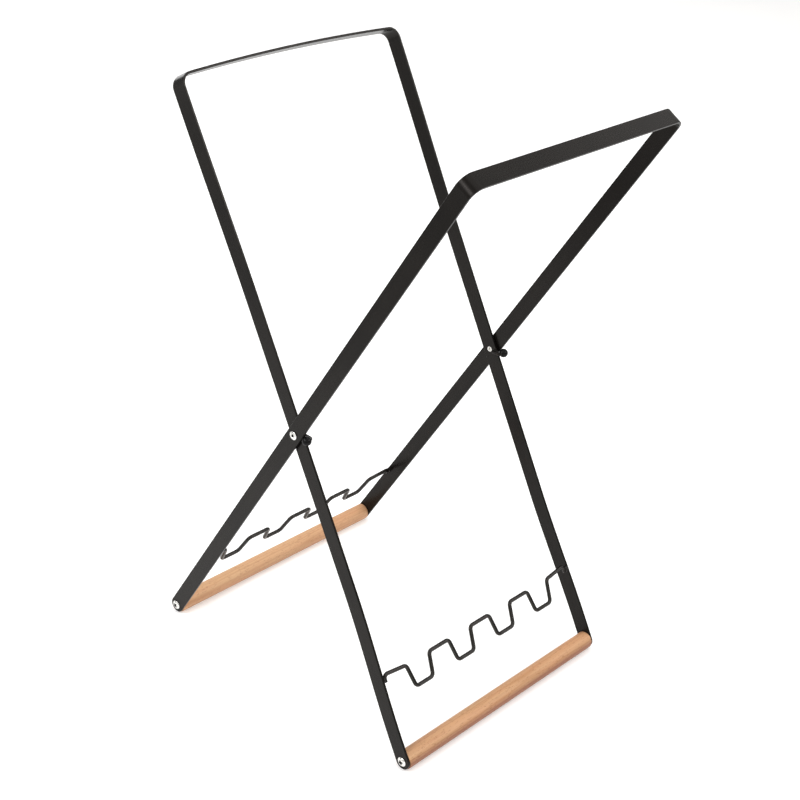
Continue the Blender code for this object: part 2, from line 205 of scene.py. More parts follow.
def node(tree, kind, inputs=None, **settings):
    """Adds a node, sets its properties, and links or sets its inputs by name or number."""
    made = tree.nodes.new(kind)
    for key, value in settings.items():
        setattr(made, key, value)
    for key, value in (inputs or {}).items():
        socket = made.inputs[key]
        if isinstance(value, bpy.types.NodeSocket):
            tree.links.new(value, socket)
        else:
            socket.default_value = value
    return made


def scaled(tree, vector, scale, location=(0, 0, 0)):
    """The piece's own coordinates, scaled per axis."""
    mapping = node(tree, "ShaderNodeMapping", {"Vector": vector, "Location": location, "Scale": scale})
    return mapping.outputs["Vector"]


def noise(tree, vector, scale, detail=2.0, roughness=0.5, distortion=0.0):
    made = node(
        tree,
        "ShaderNodeTexNoise",
        {
            "Vector": vector,
            "Scale": scale,
            "Detail": detail,
            "Roughness": roughness,
            "Distortion": distortion,
        },
    )
    return made.outputs["Fac"]


def ramp(tree, value, stops, interpolation="EASE"):
    """Colour ramp through (position, colour) stops."""
    made = node(tree, "ShaderNodeValToRGB", {"Fac": value})
    made.color_ramp.interpolation = interpolation
    elements = made.color_ramp.elements
    while len(elements) < len(stops):
        elements.new(0.5)
    for element, (position, colour) in zip(elements, stops):
        element.position = position
        element.color = (*colour, 1)
    return made.outputs["Color"]


def spread(tree, value, low, high, start=0.0, end=1.0):
    """Takes start..end to low..high."""
    made = node(
        tree,
        "ShaderNodeMapRange",
        {"Value": value, "From Min": start, "From Max": end, "To Min": low, "To Max": high},
    )
    return made.outputs["Result"]


def blend_colours(tree, share, first, second, mode="MIX"):
    made = node(tree, "ShaderNodeMix", data_type="RGBA", blend_type=mode)
    for socket, value in ((made.inputs[0], share), (made.inputs[6], first), (made.inputs[7], second)):
        if isinstance(value, bpy.types.NodeSocket):
            tree.links.new(value, socket)
        else:
            socket.default_value = value if isinstance(value, float) else (*value, 1)
    return made.outputs[2]


def bump(tree, height, strength, distance, normal=None):
    inputs = {"Height": height, "Strength": strength, "Distance": distance}
    if normal:
        inputs["Normal"] = normal
    return node(tree, "ShaderNodeBump", inputs).outputs["Normal"]


def calculate(tree, operation, first, second=0.0):
    return node(tree, "ShaderNodeMath", {0: first, 1: second}, operation=operation).outputs[0]


def vector_length(tree, vector):
    return node(tree, "ShaderNodeVectorMath", {0: vector}, operation="LENGTH").outputs["Value"]


def dot(tree, vector, direction):
    inputs = {0: vector, 1: direction}
    return node(tree, "ShaderNodeVectorMath", inputs, operation="DOT_PRODUCT").outputs["Value"]


def multiplied(tree, colour, other):
    return blend_colours(tree, 1.0, colour, other, "MULTIPLY")


def powder_coat(name, rough_, gloss):
    """Satin black powder coat: a fine grit over a soft orange peel, with a slight cloudiness."""
    material, tree, shader = new_material(name)
    place = node(tree, "ShaderNodeTexCoord").outputs["Object"]
    cloud = noise(tree, place, 14, 3)
    grit = noise(tree, place, 2600, 2, 0.6)
    peel = noise(tree, place, 520, 2)
    colour = ramp(tree, cloud, ((0.3, (0.0042, 0.0036, 0.0031)), (0.7, (0.0066, 0.0057, 0.0049))))
    speckle = spread(tree, grit, 0.0, 0.35, 0.55, 0.8)
    colour = blend_colours(tree, speckle, colour, (0.011, 0.0095, 0.008))
    tree.links.new(colour, shader.inputs["Base Color"])
    rough = spread(tree, cloud, rough_ - 0.03, rough_ + 0.03)
    rough = calculate(tree, "ADD", rough, spread(tree, grit, -0.04, 0.04))
    tree.links.new(rough, shader.inputs["Roughness"])
    peeled = bump(tree, peel, 0.15, 0.05 * MM)
    tree.links.new(bump(tree, grit, 0.15, 0.01 * MM, peeled), shader.inputs["Normal"])
    shader.inputs["Specular IOR Level"].default_value = gloss
    shader.inputs["Specular Tint"].default_value = (1.0, 0.94, 0.90, 1)
    return material


def beech(name, tone, shade_side):
    """Oiled beech with its grain along Y: growth rings, fibres, dark flecks, and painted shade on the
    side turned from the light.
    """
    material, tree, shader = new_material(name)
    place = node(tree, "ShaderNodeTexCoord").outputs["Object"]
    shift = (0.031 + 0.02 * tone, 0.3 * tone, 0.047)

    waver = noise(tree, scaled(tree, place, (38, 4.5, 38), shift), 1.0, 3)
    across = scaled(tree, place, (1, 0, 1), (0.034 - 0.009 * tone, 0, 0.019 + 0.012 * tone))
    years = calculate(tree, "MULTIPLY", vector_length(tree, across), 420)
    wander = calculate(tree, "MULTIPLY", waver, 2.6)
    ring = calculate(tree, "FRACT", calculate(tree, "ADD", years, wander))
    fibre = noise(tree, scaled(tree, place, (1500, 22, 1500), shift), 1.0, 4, 0.65)
    streak = noise(tree, scaled(tree, place, (320, 7, 320), shift), 1.0, 3, 0.6)
    fleck = noise(tree, scaled(tree, place, (950, 210, 950), shift), 1.0, 1, 0.4)
    cloud = noise(tree, scaled(tree, place, (70, 9, 70), shift), 1.0, 2)

    pale = (0.530 + 0.06 * tone, 0.305 + 0.05 * tone, 0.157 + 0.035 * tone)
    warm = (0.450 + 0.05 * tone, 0.232 + 0.045 * tone, 0.108 + 0.030 * tone)
    dark = (0.32 + 0.07 * tone, 0.142 + 0.05 * tone, 0.060 + 0.030 * tone)
    colour = ramp(tree, ring, ((0.0, pale), (0.55, pale), (0.86, warm), (1.0, pale)))
    colour = blend_colours(tree, spread(tree, streak, 0.0, 0.75, 0.42, 0.72), colour, warm)
    colour = blend_colours(tree, spread(tree, cloud, 0.0, 0.4, 0.45, 0.75), colour, (0.60, 0.27, 0.14))
    colour = blend_colours(tree, spread(tree, fibre, 0.0, 0.45, 0.5, 0.8), colour, dark)
    flecks = ramp(tree, fleck, ((0.60, (0, 0, 0)), (0.70, (1, 1, 1))))
    colour = blend_colours(tree, calculate(tree, "MULTIPLY", flecks, 0.6), colour, dark)
    # Painted shade: the colour darkens towards the side turned from the light, less on the paler outer
    # dowel.
    painted_shade = (0.52 + 0.33 * tone, 0.37 + 0.44 * tone, 0.34 + 0.45 * tone)
    depth = spread(tree, dot(tree, place, shade_side), 0.0, 1.0, -1.5 * MM, DOWEL_RADIUS)
    colour = multiplied(tree, colour, ramp(tree, depth, ((0.0, (1, 1, 1)), (0.7, painted_shade))))
    tree.links.new(colour, shader.inputs["Base Color"])

    tree.links.new(spread(tree, fibre, 0.46, 0.62), shader.inputs["Roughness"])
    grained = bump(tree, fibre, 0.25, 0.05 * MM)
    tree.links.new(bump(tree, flecks, -0.3, 0.04 * MM, grained), shader.inputs["Normal"])
    shader.inputs["Specular IOR Level"].default_value = 0.35
    shader.inputs["Coat Weight"].default_value = 0.12
    shader.inputs["Coat Roughness"].default_value = 0.32
    return material


def nickel(name, shade_, dull):
    """Nickel plate with fine turning marks about the piece's Z axis and faint smudges; a small shade_
    darkens its colour as painted shade.
    """
    material, tree, shader = new_material(name)
    place = node(tree, "ShaderNodeTexCoord").outputs["Object"]
    radius = vector_length(tree, scaled(tree, place, (1, 1, 0)))
    marks = calculate(tree, "SINE", calculate(tree, "MULTIPLY", radius, 26000))
    smudge = noise(tree, place, 420, 3)
    pits = noise(tree, place, 1900, 2)
    low, high = Vector((0.70, 0.69, 0.66)) * shade_, Vector((0.86, 0.85, 0.82)) * shade_
    colour = ramp(tree, smudge, ((0.35, low), (0.7, high)))
    tree.links.new(colour, shader.inputs["Base Color"])
    rough = spread(tree, smudge, 0.16 + dull, 0.3 + dull)
    rough = calculate(tree, "ADD", rough, spread(tree, pits, -0.03, 0.03))
    tree.links.new(rough, shader.inputs["Roughness"])
    turned = bump(tree, marks, 0.05, 0.004 * MM)
    tree.links.new(bump(tree, pits, 0.06, 0.01 * MM, turned), shader.inputs["Normal"])
    shader.inputs["Metallic"].default_value = 1.0
    return material


def nylon():
    """Natural nylon, slightly waxy and mottled."""
    material, tree, shader = new_material("nylon")
    place = node(tree, "ShaderNodeTexCoord").outputs["Object"]
    cloud = noise(tree, place, 300, 3)
    colour = ramp(tree, cloud, ((0.3, (0.52, 0.50, 0.45)), (0.7, (0.62, 0.60, 0.55))))
    tree.links.new(colour, shader.inputs["Base Color"])
    tree.links.new(spread(tree, cloud, 0.42, 0.56), shader.inputs["Roughness"])
    tree.links.new(bump(tree, cloud, 0.1, 0.03 * MM), shader.inputs["Normal"])
    shader.inputs["Subsurface Weight"].default_value = 0.1
    shader.inputs["Subsurface Radius"].default_value = (0.002, 0.002, 0.002)
    return material


def gloss_plastic():
    """Moulded glossy black plastic, with a faint flow texture."""
    material, tree, shader = new_material("gloss_black_plastic")
    place = node(tree, "ShaderNodeTexCoord").outputs["Object"]
    flow = noise(tree, place, 260, 2)
    colour = ramp(tree, flow, ((0.3, (0.003, 0.003, 0.003)), (0.7, (0.005, 0.005, 0.005))))
    tree.links.new(colour, shader.inputs["Base Color"])
    tree.links.new(spread(tree, flow, 0.08, 0.14), shader.inputs["Roughness"])
    tree.links.new(bump(tree, flow, 0.04, 0.05 * MM), shader.inputs["Normal"])
    shader.inputs["Specular IOR Level"].default_value = 0.13
    return material


def floor_finish():
    """Pale matt studio floor with a faint mottle; painted light falloff darkens its colour towards the
    studio's dark end, and it glows a little, as painted light, to keep its shadows pale.
    """
    material, tree, shader = new_material("studio_floor")
    place = node(tree, "ShaderNodeTexCoord").outputs["Object"]
    cloud = noise(tree, place, 3, 3)
    colour = ramp(tree, cloud, ((0.3, (0.905, 0.905, 0.905)), (0.7, (0.93, 0.93, 0.93))))
    # Painted light falloff: the floor's colour darkens far out towards the dark end.
    away = spread(tree, dot(tree, place, PAINTED_DARK_END), 0.0, 1.0, 0.6, 1.5)
    near = spread(tree, vector_length(tree, place), 1.0, 0.0, 1.5, 3.4)
    dimmed = calculate(tree, "MULTIPLY", away, near)
    painted_falloff = ramp(tree, dimmed, ((0.0, (1, 1, 1)), (1.0, (0.42, 0.42, 0.42))))
    colour = multiplied(tree, colour, painted_falloff)
    tree.links.new(colour, shader.inputs["Base Color"])
    # Painted light: the floor glows a little so that its shadows stay pale.
    tree.links.new(colour, shader.inputs["Emission Color"])
    shader.inputs["Emission Strength"].default_value = 0.2
    shader.inputs["Roughness"].default_value = 0.9
    shader.inputs["Specular IOR Level"].default_value = 0.1
    return material


# ------------------------------------------------------------------- shapes


def frame_matrix(lean):
    return Matrix.Translation(PIVOT) @ Matrix.Rotation(lean, 4, "Y")


def facing_out(lean, side, half_width, height):
    """Axes on a leg's outer face: Z points away from the rack."""
    place = Matrix.Translation((0, side * half_width, height))
    return frame_matrix(lean) @ place @ Matrix.Rotation(-side * math.pi / 2, 4, "X")


def add_piece(name, shape, matrix, material, sharp=35):
    """Closed mesh object, smooth except at edges sharper than the angle given in degrees."""
    bmesh.ops.recalc_face_normals(shape, faces=shape.faces)
    mesh = bpy.data.meshes.new(name)
    shape.to_mesh(mesh)
    shape.free()
    piece = bpy.data.objects.new(name, mesh)
    piece.matrix_world = matrix
    mesh.materials.append(material)
    bpy.context.scene.collection.objects.link(piece)
    shade(piece, sharp)
    return piece


def shade(piece, sharp):
    piece.data.shade_smooth()
    piece.data.set_sharp_from_angle(angle=math.radians(sharp))


def cut(piece, cutter, sharp=35):
    """Takes the cutter's shape out of the piece, and removes the cutter."""
    modifier = piece.modifiers.new("cut", "BOOLEAN")
    modifier.operation = "DIFFERENCE"
    modifier.solver = "EXACT"
    modifier.material_mode = "TRANSFER"
    modifier.object = cutter
    bpy.context.view_layer.update()
    evaluated = piece.evaluated_get(bpy.context.evaluated_depsgraph_get())
    mesh = bpy.data.meshes.new_from_object(evaluated)
    piece.modifiers.clear()
    old = piece.data
    piece.data = mesh
    bpy.data.meshes.remove(old)
    mesh.name = piece.name
    bpy.data.objects.remove(cutter, do_unlink=True)
    shade(piece, sharp)


def even_normals(piece):
    """Large flat faces keep flat shading beside their small rounded edges."""
    modifier = piece.modifiers.new("even normals", "WEIGHTED_NORMAL")
    modifier.mode = "FACE_AREA"
    modifier.weight = 100
    modifier.keep_sharp = True


def place_piece(piece, body, slot, *nodes):
    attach(piece, body)
    if nodes:
        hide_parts(*nodes)


def ease(start, end, value):
    """0 up to start, 1 from end, and a smooth S between them."""
    share = min(max((value - start) / (end - start), 0), 1)
    return share * share * (3 - 2 * share)


def ring_faces(shape, ring, after):
    """Joins two rings of as many vertices; a vertex that they share makes a triangle."""
    count = len(ring)
    for j in range(count):
        k = (j + 1) % count
        corners = list(dict.fromkeys((ring[j], ring[k], after[k], after[j])))
        if len(corners) > 2:
            shape.faces.new(corners)


def turned(profile, sides):
    """Closed shape from (radius, height) points turned about Z. A closed ring starts off the axis."""
    shape = bmesh.new()
    rings = []
    for radius, height in profile:
        if radius == 0:
            rings.append([shape.verts.new((0, 0, height))] * sides)
            continue
        ring = []
        for k in range(sides):
            angle = 2 * math.pi * k / sides
            ring.append(shape.verts.new((radius * math.cos(angle), radius * math.sin(angle), height)))
        rings.append(ring)
    if profile[0][0] > 0:
        rings.append(rings[0])
    for ring, above in zip(rings, rings[1:]):
        ring_faces(shape, ring, above)
    return shape


def rounded(corners, radius, steps):
    """Path through the corner points with every inner corner rounded."""
    path = [corners[0]]
    for before, corner, after in zip(corners, corners[1:], corners[2:]):
        inward = (before - corner).normalized()
        outward = (after - corner).normalized()
        half_angle = inward.angle(outward) / 2
        middle = corner + (inward + outward).normalized() * radius / math.sin(half_angle)
        start = corner + inward * radius / math.tan(half_angle) - middle
        end = corner + outward * radius / math.tan(half_angle) - middle
        turn = start.angle(end)
        for k in range(steps + 1):
            share = k / steps
            arm = start * math.sin((1 - share) * turn) + end * math.sin(share * turn)
            path.append(middle + arm / math.sin(turn))
    path.append(corners[-1])
    return path


def tube(points, radius, sides, normal, edge):
    """Round bar along a path in the plane that normal is square to, its ends slightly rounded over."""
    normal = normal.normalized()
    first = (points[1] - points[0]).normalized()
    last = (points[-1] - points[-2]).normalized()
    stations = []
    for k in range(4):
        angle = math.pi / 2 * k / 3
        inset = edge * (1 - math.sin(angle))
        stations.append((points[0] + first * edge * (1 - math.cos(angle)), first, radius - inset))
    for before, here, after in zip(points, points[1:], points[2:]):
        along = ((here - before).normalized() + (after - here).normalized()).normalized()
        stations.append((here, along, radius))
    for k in reversed(range(4)):
        angle = math.pi / 2 * k / 3
        inset = edge * (1 - math.sin(angle))
        stations.append((points[-1] - last * edge * (1 - math.cos(angle)), last, radius - inset))
    shape = bmesh.new()
    rings = []
    for point, along, size in stations:
        across = normal.cross(along)
        ring = []
        for j in range(sides):
            angle = 2 * math.pi * j / sides
            arm = across * math.cos(angle) + normal * math.sin(angle)
            ring.append(shape.verts.new(point + arm * size))
        rings.append(ring)
    for ring, above in zip(rings, rings[1:]):
        ring_faces(shape, ring, above)
    shape.faces.new(rings[0])
    shape.faces.new(rings[-1])
    return shape


def fillet(radius, steps, start, end):
    """(radius, height) offsets of a quarter round between two angles in degrees."""
    points = []
    for k in range(steps + 1):
        angle = math.radians(start + (end - start) * k / steps)
        points.append((radius * math.cos(angle), radius * math.sin(angle)))
    return points


# --------------------------------------------------------------- flat bars


def leg_half_width(frame_, z):
    """Distance of a leg's outer face from the middle of the frame, at height z from the pivot."""
    if z < 0:
        flare = (frame_.foot_width - frame_.pivot_width) / 2
        share = ease(FLARE_START_BELOW, FOOT_TO_PIVOT - FOOT_FLAT, -z)
    else:
        flare = (frame_.top_width - frame_.pivot_width) / 2
        share = ease(FLARE_START_ABOVE, frame_.crown - BEND_RADIUS, z)
    return frame_.pivot_width / 2 + flare * share


def bar_centre_line(frame_):
    """(y, z, outward normal) along the outer face of a bent frame, from foot to foot."""
    half_span = frame_.top_width / 2 - BEND_RADIUS
    slope = 2 * math.atan2(frame_.rise, half_span)
    top_half = half_span + BEND_RADIUS * math.sin(slope)
    bend_height = frame_.crown - top_half * math.tan(slope / 2) - BEND_RADIUS * math.cos(slope)
    heights = [-FOOT_TO_PIVOT, FOOT_FLAT - FOOT_TO_PIVOT]
    if frame_.foot_width > frame_.pivot_width:
        low, high = FOOT_FLAT - FOOT_TO_PIVOT, -FLARE_START_BELOW
        heights += [low + (high - low) * k / 24 for k in range(1, 25)]
        low, high = FLARE_START_ABOVE, bend_height
        heights += [low + (high - low) * k / 24 for k in range(24)]
    line = []
    step = 0.5 * MM
    for z in heights:
        lean_out = leg_half_width(frame_, z + step) - leg_half_width(frame_, z - step)
        line.append((-leg_half_width(frame_, z), z, Vector((-2 * step, -lean_out)).normalized()))
    for k in range(33):
        angle = math.pi + (slope - math.pi / 2) * k / 32
        normal = Vector((math.cos(angle), math.sin(angle)))
        line.append((-half_span + BEND_RADIUS * normal.x, bend_height + BEND_RADIUS * normal.y, normal))
    middle = []
    if frame_.rise:
        top_radius = top_half / math.sin(slope)
        for k in range(1, 20):
            y = top_half * (k / 20 - 1)
            fall = top_radius - math.sqrt(top_radius**2 - y**2)
            line.append((y, frame_.crown - fall, Vector((y, top_radius - fall)).normalized()))
        middle.append((0, frame_.crown, Vector((0, 1))))
    mirrored = [(-y, z, Vector((-n.x, n.y))) for y, z, n in reversed(line)]
    return line + middle + mirrored


def bar_section():
    """(side, inset from the bar's edge, depth under its outer face) round the section."""
    steps = 4
    half = []
    for k in range(steps + 1):
        angle = math.pi / 2 * k / steps
        half.append((BAR_EDGE * (1 - math.sin(angle)), BAR_EDGE * (1 - math.cos(angle))))
    half += [(inset, BAR_THICK - depth) for inset, depth in reversed(half)]
    return [(1, *point) for point in half] + [(-1, *point) for point in reversed(half)]


def bar_shape(frame_):
    """Flat bar with rolled edges, bent to a U, its legs ending full-round about the dowel's axis."""
    shape = bmesh.new()
    section = bar_section()
    half_bar = BAR_WIDTH / 2
    line = bar_centre_line(frame_)
    tip_steps = 20
    rings = []

    def tip_ring(y, side, k):
        """Ring k of a leg's round end, from 0 at its lowest line, where both sides meet."""
        angle = math.pi / 2 * k / tip_steps
        points = []
        for sign, inset, depth in section:
            reach = half_bar - inset
            x = sign * reach * math.sin(angle) if k else 0.0
            points.append((x, y - side * depth, -FOOT_TO_PIVOT - reach * math.cos(angle)))
        verts = {point: shape.verts.new(point) for point in dict.fromkeys(points)}
        return [verts[point] for point in points]

    first_y, last_y = line[0][0], line[-1][0]
    for k in range(tip_steps):
        rings.append(tip_ring(first_y, -1, k))
    for y, z, normal in line:
        ring = []
        for sign, inset, depth in section:
            point = (sign * (half_bar - inset), y - normal.x * depth, z - normal.y * depth)
            ring.append(shape.verts.new(point))
        rings.append(ring)
    for k in reversed(range(tip_steps)):
        rings.append(tip_ring(last_y, 1, k))
    for ring, after in zip(rings, rings[1:]):
        ring_faces(shape, ring, after)
    return shape


def make_bar(frame_, coat, pivot_hole):
    """The bent bar with its pivot and dowel-screw holes drilled through both legs."""
    matrix = frame_matrix(frame_.lean)
    bar = add_piece(f"{frame_.label}_bar", bar_shape(frame_), matrix, coat)
    reach = OUTER_WIDTH / 2 + 10 * MM
    for radius, height in ((pivot_hole, 0), (SCREW_RADIUS + SCREW_HOLE_GAP, -FOOT_TO_PIVOT)):
        profile = ((0, -reach), (radius, -reach), (radius, reach), (0, reach))
        place = matrix @ Matrix.Translation((0, 0, height)) @ Matrix.Rotation(math.pi / 2, 4, "X")
        cut(bar, add_piece("drill", turned(profile, 48), place, coat))
    even_normals(bar)
    place_piece(bar, f"{frame_.label}_frame_body", "black_powder_coat", f"{frame_.label}_frame")


# ------------------------------------------------------------ wood and wire


def make_dowel(frame_, wood):
    """Foot dowel with eased ends and a pilot bore in each."""
    half = frame_.foot_width / 2 - BAR_THICK - DOWEL_GAP
    hole = SCREW_RADIUS * 0.9
    bore_end = half - DOWEL_BORE_DEPTH
    profile = [(0, bore_end), (hole, bore_end), (hole, half)]
    for r, h in fillet(DOWEL_EDGE, 5, 90, 0):
        profile.append((DOWEL_RADIUS - DOWEL_EDGE + r, half - DOWEL_EDGE + h))
    profile += [(DOWEL_RADIUS, half * (1 - k / 12)) for k in range(1, 12)]
    profile = profile + [(DOWEL_RADIUS, 0)] + [(r, -h) for r, h in reversed(profile)]
    profile.reverse()
    matrix = frame_matrix(frame_.lean) @ Matrix.Translation((0, 0, -FOOT_TO_PIVOT))
    shape = turned(profile, 96)
    bmesh.ops.rotate(shape, verts=shape.verts, matrix=Matrix.Rotation(math.pi / 2, 3, "X"))
    dowel = add_piece(f"{frame_.label}_foot_dowel", shape, matrix, wood)
    place_piece(dowel, f"{frame_.label}_frame_body", "oiled_beech", f"{frame_.label}_dowel")


def wire_corners(frame_):
    """Corner points of the notched wire's centre line as (y, height above the dowel's axis)."""
    end_height = NOTCH_TOP_HEIGHT + WIRE_END_RISE
    inner_face = leg_half_width(frame_, end_height + WIRE_RADIUS - FOOT_TO_PIVOT) - BAR_THICK
    end_y = inner_face - SEAT_GAP - WIRE_RADIUS
    corners = [(-end_y, end_height - WIRE_TAIL), (-end_y, end_height)]
    for notch in range(NOTCH_COUNT):
        centre = (notch - (NOTCH_COUNT - 1) / 2) * NOTCH_PITCH
        floor = NOTCH_FLOOR / 2
        corners.append((centre - floor - NOTCH_SLOPE, NOTCH_TOP_HEIGHT))
        corners.append((centre - floor, NOTCH_FLOOR_HEIGHT))
        corners.append((centre + floor, NOTCH_FLOOR_HEIGHT))
        corners.append((centre + floor + NOTCH_SLOPE, NOTCH_TOP_HEIGHT))
    corners.append((end_y, end_height))
    corners.append((end_y, end_height - WIRE_TAIL))
    return corners


def weld_shape(radius, gap, length, width):
    """Bead along Z between a flat face at Y = 0 and a rod of that radius standing off it by gap."""
    section = [(-width, -0.25 * MM), (-width * 0.97, 0.25 * MM), (-width * 0.88, 0.9 * MM)]
    section += [(-width * 0.74, 1.6 * MM), (-radius * 0.8, gap + radius * 0.8)]
    section += [(-x, y) for x, y in reversed(section)]
    shape = bmesh.new()
    rings = []
    steps = 28
    for k in range(steps + 1):
        u = 2 * k / steps - 1
        taper = math.sqrt(max(1 - u**4, 0)) * 0.75 + 0.25
        ripple = 1 + 0.035 * math.cos(k * math.pi / 2)
        size = taper * ripple
        z = u * length / 2
        rings.append([shape.verts.new((x * size, min(y * size, y), z)) for x, y in section])
    for ring, above in zip(rings, rings[1:]):
        ring_faces(shape, ring, above)
    shape.faces.new(rings[0])
    shape.faces.new(rings[-1])
    return shape


def make_wire(frame_, coat):
    """The notched wire, and the beads that weld its tails to the legs."""
    matrix = frame_matrix(frame_.lean)
    body = f"{frame_.label}_frame_body"
    offset = frame_.wire_side * WIRE_OFFSET
    flat = wire_corners(frame_)
    corners = [Vector((offset, y, z - FOOT_TO_PIVOT)) for y, z in flat]
    shape = tube(rounded(corners, WIRE_BEND, 10), WIRE_RADIUS, 28, Vector((1, 0, 0)), END_ROUNDING)
    wire = add_piece(f"{frame_.label}_wire_rod", shape, matrix, coat)
    place_piece(wire, body, "black_powder_coat", f"{frame_.label}_notched_wire")
    end_height = flat[-2][1]
    weld_length = WIRE_TAIL - 2 * MM
    z = end_height - WIRE_TAIL / 2 - 0.7 * MM - FOOT_TO_PIVOT
    for end, side in ENDS:
        face = leg_half_width(frame_, z) - BAR_THICK
        lean_out = (leg_half_width(frame_, z + MM) - leg_half_width(frame_, z - MM)) / (2 * MM)
        place = Matrix.Translation((offset, side * face, z))
        tilt = Matrix.Rotation(-side * math.atan(lean_out), 4, "X")
        turn = Matrix.Rotation(math.pi if side > 0 else 0, 4, "Z")
        bead = weld_shape(WIRE_RADIUS, SEAT_GAP, weld_length, WIRE_WELD_WIDTH)
        seat = matrix @ place @ tilt @ turn
        weld = add_piece(f"{frame_.label}_wire_weld_{end}", bead, seat, coat, 60)
        place_piece(weld, body, "black_powder_coat")


# ----------------------------------------------------------------- hardware


def domed(radius, top, edge, side_height, sides_of_dome):
    """(radius, height) profile of a low domed head from its seat at height 0 to the axis."""
    rise = top - side_height
    ball = (radius**2 + rise**2) / (2 * rise)
    profile = [(radius - edge, 0), (radius - edge * 0.3, edge * 0.3), (radius, edge)]
    profile.append((radius, side_height - edge))
    for k in range(1, 4):
        r = radius - edge * (1 - math.cos(math.pi / 2 * k / 3))
        profile.append((r, side_height - edge + edge * math.sin(math.pi / 2 * k / 3)))
    start = profile[-1][0]
    for k in range(1, sides_of_dome):
        r = start * (1 - k / sides_of_dome)
        profile.append((r, top - ball + math.sqrt(ball**2 - r**2)))
    profile.append((0, top))
    return profile


def tapered_prism(low, high, bottom, top):
    """Prism between two outlines of as many (x, y) points."""
    shape = bmesh.new()
    base = [shape.verts.new((x, y, bottom)) for x, y in low]
    crown = [shape.verts.new((x, y, top)) for x, y in high]
    ring_faces(shape, base, crown)
    shape.faces.new(base)
    shape.faces.new(crown)
    return shape


def cross_outline(arm, waist):
    """Outline of a four-armed recess as (x, y) points."""
    half = [(arm, waist), (waist * 1.5, waist * 1.5), (waist, arm)]
    outline = []
    for turn in range(4):
        angle = math.pi / 2 * turn
        cosine, sine = math.cos(angle), math.sin(angle)
        outline += [(x * cosine - y * sine, x * sine + y * cosine) for x, y in half]
    return outline


def make_dowel_screw(frame_, end, side, plate, recess_shade):
    """Pan-head screw with a cross recess and its thread in the dowel."""
    thread = []
    turns = int((SCREW_LENGTH - SCREW_POINT - SCREW_NECK) / SCREW_THREAD_PITCH)
    for k in range(turns):
        z = -SCREW_LENGTH + SCREW_POINT + k * SCREW_THREAD_PITCH
        thread.append((SCREW_RADIUS * SCREW_CORE, z))
        thread.append((SCREW_RADIUS * SCREW_CORE, z + SCREW_THREAD_PITCH * 0.5))
        thread.append((SCREW_RADIUS, z + SCREW_THREAD_PITCH * 0.75))
    neck = SCREW_RADIUS * 0.9
    shank = [(0, -SCREW_LENGTH), *thread, (neck, -2 * MM), (neck, 0)]
    head = domed(SCREW_HEAD_RADIUS, SCREW_HEAD_TOP, 0.3 * MM, SCREW_HEAD_SIDE, 12)
    matrix = facing_out(frame_.lean, side, frame_.foot_width / 2, -FOOT_TO_PIVOT)
    screw = add_piece(f"{frame_.label}_foot_screw_{end}", turned(shank + head, 64), matrix, plate)
    low, high = cross_outline(*RECESS_FLOOR), cross_outline(*RECESS_MOUTH)
    recess = tapered_prism(low, high, SCREW_HEAD_TOP - RECESS_DEPTH, SCREW_HEAD_TOP + 0.3 * MM)
    turn = Matrix.Rotation(math.radians(20 + 25 * side), 3, "Z")
    bmesh.ops.rotate(recess, verts=recess.verts, matrix=turn)
    # The recess walls take the near-black nickel, painted shade.
    cut(screw, add_piece("driver", recess, matrix, recess_shade))
    even_normals(screw)
    body = f"{frame_.label}_frame_body"
    place_piece(screw, body, "nickel_plate", f"{frame_.label}_dowel_screw_{end}")


def make_pivot_bolt(end, side, plate, recess_shade):
    """Shoulder bolt with a domed head and a hexagon socket."""
    nut_depth = (OUTER_WIDTH - INNER_PIVOT_WIDTH) / 2
    tip = -nut_depth - BAR_THICK + THREAD_RECESS
    bevel = 0.35 * MM
    shoulder = -nut_depth + 0.1 * MM
    shank = [(0, tip), (PIVOT_THREAD_RADIUS - bevel, tip), (PIVOT_THREAD_RADIUS, tip + bevel)]
    shank += [(PIVOT_THREAD_RADIUS, shoulder), (SHOULDER_RADIUS, shoulder), (SHOULDER_RADIUS, 0)]
    head = domed(PIVOT_HEAD_RADIUS, PIVOT_HEAD_TOP, 0.35 * MM, PIVOT_HEAD_SIDE, 12)
    matrix = facing_out(-LEAN, side, OUTER_WIDTH / 2, 0)
    bolt = add_piece(f"pivot_shoulder_bolt_{end}", turned(shank + head, 72), matrix, plate)
    above = 4 * MM
    sink = (
        (0, 0.7 * MM),
        (PIVOT_SOCKET_RADIUS, 1.75 * MM),
        (PIVOT_SINK_RADIUS, 2.6 * MM),
        (PIVOT_SINK_RADIUS, above),
        (0, above),
    )
    cut(bolt, add_piece("countersink", turned(sink, 72), matrix, plate))
    hexagon = []
    for k in range(6):
        angle = math.pi * k / 3 + math.radians(12)
        hexagon.append((PIVOT_SOCKET_RADIUS * math.cos(angle), PIVOT_SOCKET_RADIUS * math.sin(angle)))
    socket = tapered_prism(hexagon, hexagon, PIVOT_SOCKET_FLOOR, above)
    # The socket walls take the near-black nickel, painted shade.
    cut(bolt, add_piece("socket", socket, matrix, recess_shade))
    even_normals(bolt)
    place_piece(bolt, "inner_frame_body", "nickel_plate", f"pivot_bolt_{end}")


